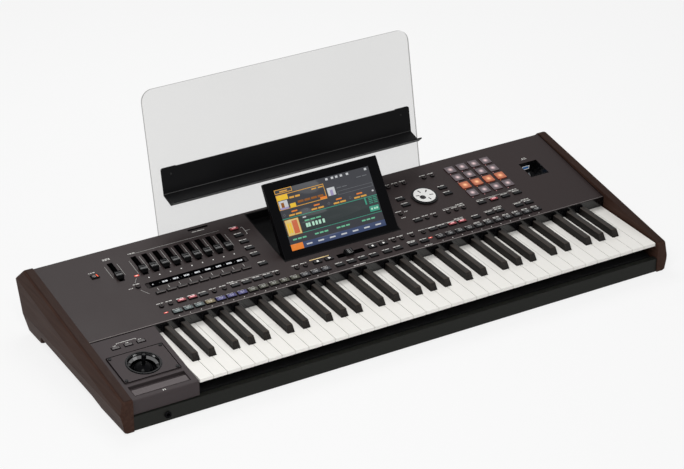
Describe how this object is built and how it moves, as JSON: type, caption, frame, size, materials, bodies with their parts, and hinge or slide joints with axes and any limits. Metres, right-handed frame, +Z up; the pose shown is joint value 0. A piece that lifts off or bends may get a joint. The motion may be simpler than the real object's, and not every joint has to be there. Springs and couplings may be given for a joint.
{
  "type": "arranger keyboard",
  "caption": "Electronic arranger keyboard with full-size keys, joystick block, sloping control panel, tilting display, end cheeks and a lift-out clear music stand.",
  "frame": {"origin": "on the floor under the middle of the whole, at the bottom centre of its bounding box", "axes": "+X right along the keys, +Y towards the rear, +Z up"},
  "size_m": [1.003, 0.4128, 0.3405],
  "materials": {
    "case_grey": "fine matt, dark warm grey",
    "cheek_brown": "satin dark brown",
    "block_grey": "fine matt dark grey",
    "rail_grey": "satin black-grey",
    "white_key": "soft gloss ivory white",
    "black_key": "fine textured black",
    "sheet_steel": "matt black paint",
    "bright_steel": "plain steel",
    "screw_black": "black screws",
    "rubber_black": "matt rubber",
    "board_green": "circuit board",
    "socket_black": "black moulding",
    "port_blue": "metal port with a blue tongue",
    "black_gloss": "glossy black",
    "black_matt": "matt black",
    "button_grey": "dark grey buttons, some lit",
    "pad_rubber": "translucent lit pads",
    "dial_white": "white disc with a black skirt",
    "lamp": "lamp lens",
    "screen_glass": "dark glass over the display",
    "clear_acrylic": "clear acrylic sheet"
  },
  "bodies": {
    "case": {"bottom_tray": "sheet_steel", "rear_panel": "sheet_steel", "top_panel": "case_grey", "left_cheek": "cheek_brown", "right_cheek": "cheek_brown", "front_rail": "rail_grey", "rubber_feet": "rubber_black", "case_screws": "screw_black", "key_frame": "sheet_steel", "key_pivot_rod": "bright_steel", "key_contact_board": "board_green", "main_board": "board_green", "panel_board": "board_green", "power_supply": "bright_steel", "jack_sockets": "socket_black", "midi_sockets": "socket_black", "usb_sockets": "port_blue", "mains_inlet": "socket_black", "joystick_housing": "block_grey", "joystick_plate": "block_grey", "ribbon_strip": "black_matt", "display_well": "black_matt", "fader_display": "black_gloss", "fader_tracks": "black_matt", "indicator_leds": "lamp", "stand_brackets": "socket_black"},
    "music_stand": {"stand_panel": "clear_acrylic", "stand_ledge": "sheet_steel"},
    "display": {"display_housing": "black_gloss", "display_screen": "screen_glass", "display_hinge_pins": "bright_steel"},
    "gimbal": {"joystick_gimbal": "socket_black"},
    "stick": {"joystick_stick": "black_gloss"},
    "dial": {"data_dial": "dial_white"},
    "master_fader_cap": {"master_fader_cap": "black_matt"},
    "assign_fader_cap_1": {"assign_fader_cap_1": "black_matt"},
    "assign_fader_cap_2": {"assign_fader_cap_2": "black_matt"},
    "assign_fader_cap_3": {"assign_fader_cap_3": "black_matt"},
    "assign_fader_cap_4": {"assign_fader_cap_4": "black_matt"},
    "assign_fader_cap_5": {"assign_fader_cap_5": "black_matt"},
    "assign_fader_cap_6": {"assign_fader_cap_6": "black_matt"},
    "assign_fader_cap_7": {"assign_fader_cap_7": "black_matt"},
    "assign_fader_cap_8": {"assign_fader_cap_8": "black_matt"},
    "assign_fader_cap_9": {"assign_fader_cap_9": "black_matt"},
    "balance_fader_cap": {"balance_fader_cap": "black_matt"},
    "style_buttons": {"style_buttons": "button_grey"},
    "function_buttons": {"function_buttons": "button_grey"},
    "fader_buttons": {"fader_buttons": "button_grey"},
    "round_buttons": {"round_buttons": "button_grey"},
    "pads": {"pads": "pad_rubber"},
    "power_button": {"power_button": "button_grey"},
    "joystick_buttons": {"joystick_buttons": "button_grey"},
    "c_keys": {"c_keys": "white_key"},
    "d_keys": {"d_keys": "white_key"},
    "e_keys": {"e_keys": "white_key"},
    "f_keys": {"f_keys": "white_key"},
    "g_keys": {"g_keys": "white_key"},
    "a_keys": {"a_keys": "white_key"},
    "b_keys": {"b_keys": "white_key"},
    "black_keys": {"black_keys": "black_key"}
  },
  "joints": [
    {"name": "stand_lift", "type": "slide", "parent": "case", "child": "music_stand", "axis": [0, 0.1959, 0.9806], "range_m": [0, 0.05]},
    {"name": "display_tilt", "type": "hinge", "parent": "case", "child": "display", "pos_m": [0.00375, 0.01218, 0.08173], "axis": [1, 0, 0], "range_deg": [-44.3, 0]},
    {"name": "stick_fore_aft", "type": "hinge", "parent": "case", "child": "gimbal", "pos_m": [-0.42475, -0.12577, 0.04533], "axis": [1, 0, 0], "range_deg": [-18, 18], "stiffness_Nm_per_rad": 0.3},
    {"name": "stick_sideways", "type": "hinge", "parent": "gimbal", "child": "stick", "pos_m": [-0.42475, -0.12577, 0.04533], "axis": [0, 0.9914, 0.1305], "range_deg": [-18, 18], "stiffness_Nm_per_rad": 0.3},
    {"name": "dial_turn", "type": "hinge", "parent": "case", "child": "dial", "pos_m": [0.19666, 0.06874, 0.09447], "axis": [0, -0.169, 0.9856], "continuous": true},
    {"name": "master_fader_slide", "type": "slide", "parent": "case", "child": "master_fader_cap", "axis": [0, 0.9856, 0.169], "range_m": [-0.01, 0.034]},
    {"name": "assign_fader_1_slide", "type": "slide", "parent": "case", "child": "assign_fader_cap_1", "axis": [0, 0.9856, 0.169], "range_m": [-0.009, 0.035]},
    {"name": "assign_fader_2_slide", "type": "slide", "parent": "case", "child": "assign_fader_cap_2", "axis": [0, 0.9856, 0.169], "range_m": [-0.009, 0.035]},
    {"name": "assign_fader_3_slide", "type": "slide", "parent": "case", "child": "assign_fader_cap_3", "axis": [0, 0.9856, 0.169], "range_m": [-0.009, 0.035]},
    {"name": "assign_fader_4_slide", "type": "slide", "parent": "case", "child": "assign_fader_cap_4", "axis": [0, 0.9856, 0.169], "range_m": [-0.009, 0.035]},
    {"name": "assign_fader_5_slide", "type": "slide", "parent": "case", "child": "assign_fader_cap_5", "axis": [0, 0.9856, 0.169], "range_m": [-0.009, 0.035]},
    {"name": "assign_fader_6_slide", "type": "slide", "parent": "case", "child": "assign_fader_cap_6", "axis": [0, 0.9856, 0.169], "range_m": [-0.009, 0.035]},
    {"name": "assign_fader_7_slide", "type": "slide", "parent": "case", "child": "assign_fader_cap_7", "axis": [0, 0.9856, 0.169], "range_m": [-0.009, 0.035]},
    {"name": "assign_fader_8_slide", "type": "slide", "parent": "case", "child": "assign_fader_cap_8", "axis": [0, 0.9856, 0.169], "range_m": [-0.009, 0.035]},
    {"name": "assign_fader_9_slide", "type": "slide", "parent": "case", "child": "assign_fader_cap_9", "axis": [0, 0.9856, 0.169], "range_m": [-0.009, 0.035]},
    {"name": "balance_fader_slide", "type": "slide", "parent": "case", "child": "balance_fader_cap", "axis": [1, 0, 0], "range_m": [-0.0187, 0.0253]},
    {"name": "style_buttons_press", "type": "slide", "parent": "case", "child": "style_buttons", "axis": [0, 0.169, -0.9856], "range_m": [0, 0.0012], "stiffness_N_per_m": 2000, "springref_m": -0.002},
    {"name": "function_buttons_press", "type": "slide", "parent": "case", "child": "function_buttons", "axis": [0, 0.169, -0.9856], "range_m": [0, 0.0012], "stiffness_N_per_m": 2000, "springref_m": -0.002},
    {"name": "fader_buttons_press", "type": "slide", "parent": "case", "child": "fader_buttons", "axis": [0, 0.169, -0.9856], "range_m": [0, 0.0012], "stiffness_N_per_m": 2000, "springref_m": -0.002},
    {"name": "round_buttons_press", "type": "slide", "parent": "case", "child": "round_buttons", "axis": [0, 0.169, -0.9856], "range_m": [0, 0.0012], "stiffness_N_per_m": 2000, "springref_m": -0.002},
    {"name": "pads_press", "type": "slide", "parent": "case", "child": "pads", "axis": [0, 0.169, -0.9856], "range_m": [0, 0.0012], "stiffness_N_per_m": 2000, "springref_m": -0.002},
    {"name": "power_button_press", "type": "slide", "parent": "case", "child": "power_button", "axis": [0, 0.169, -0.9856], "range_m": [0, 0.0012], "stiffness_N_per_m": 300, "springref_m": -0.002},
    {"name": "joystick_buttons_press", "type": "slide", "parent": "case", "child": "joystick_buttons", "axis": [0, 0.1305, -0.9914], "range_m": [0, 0.0012], "stiffness_N_per_m": 500, "springref_m": -0.002},
    {"name": "c_keys_press", "type": "hinge", "parent": "case", "child": "c_keys", "pos_m": [0.05525, -0.01122, 0.048], "axis": [1, 0, 0], "range_deg": [0, 3], "stiffness_Nm_per_rad": 2, "springref_deg": -17.19},
    {"name": "d_keys_press", "type": "hinge", "parent": "case", "child": "d_keys", "pos_m": [0.05525, -0.01122, 0.048], "axis": [1, 0, 0], "range_deg": [0, 3], "stiffness_Nm_per_rad": 2, "springref_deg": -17.19},
    {"name": "e_keys_press", "type": "hinge", "parent": "case", "child": "e_keys", "pos_m": [0.05525, -0.01122, 0.048], "axis": [1, 0, 0], "range_deg": [0, 3], "stiffness_Nm_per_rad": 2, "springref_deg": -17.19},
    {"name": "f_keys_press", "type": "hinge", "parent": "case", "child": "f_keys", "pos_m": [0.05525, -0.01122, 0.048], "axis": [1, 0, 0], "range_deg": [0, 3], "stiffness_Nm_per_rad": 2, "springref_deg": -17.19},
    {"name": "g_keys_press", "type": "hinge", "parent": "case", "child": "g_keys", "pos_m": [0.05525, -0.01122, 0.048], "axis": [1, 0, 0], "range_deg": [0, 3], "stiffness_Nm_per_rad": 2, "springref_deg": -17.19},
    {"name": "a_keys_press", "type": "hinge", "parent": "case", "child": "a_keys", "pos_m": [0.05525, -0.01122, 0.048], "axis": [1, 0, 0], "range_deg": [0, 3], "stiffness_Nm_per_rad": 2, "springref_deg": -17.19},
    {"name": "b_keys_press", "type": "hinge", "parent": "case", "child": "b_keys", "pos_m": [0.05525, -0.01122, 0.048], "axis": [1, 0, 0], "range_deg": [0, 3], "stiffness_Nm_per_rad": 2, "springref_deg": -17.19},
    {"name": "black_keys_press", "type": "hinge", "parent": "case", "child": "black_keys", "pos_m": [0.05525, -0.01122, 0.048], "axis": [1, 0, 0], "range_deg": [0, 3], "stiffness_Nm_per_rad": 8, "springref_deg": -17.19}
  ]
}
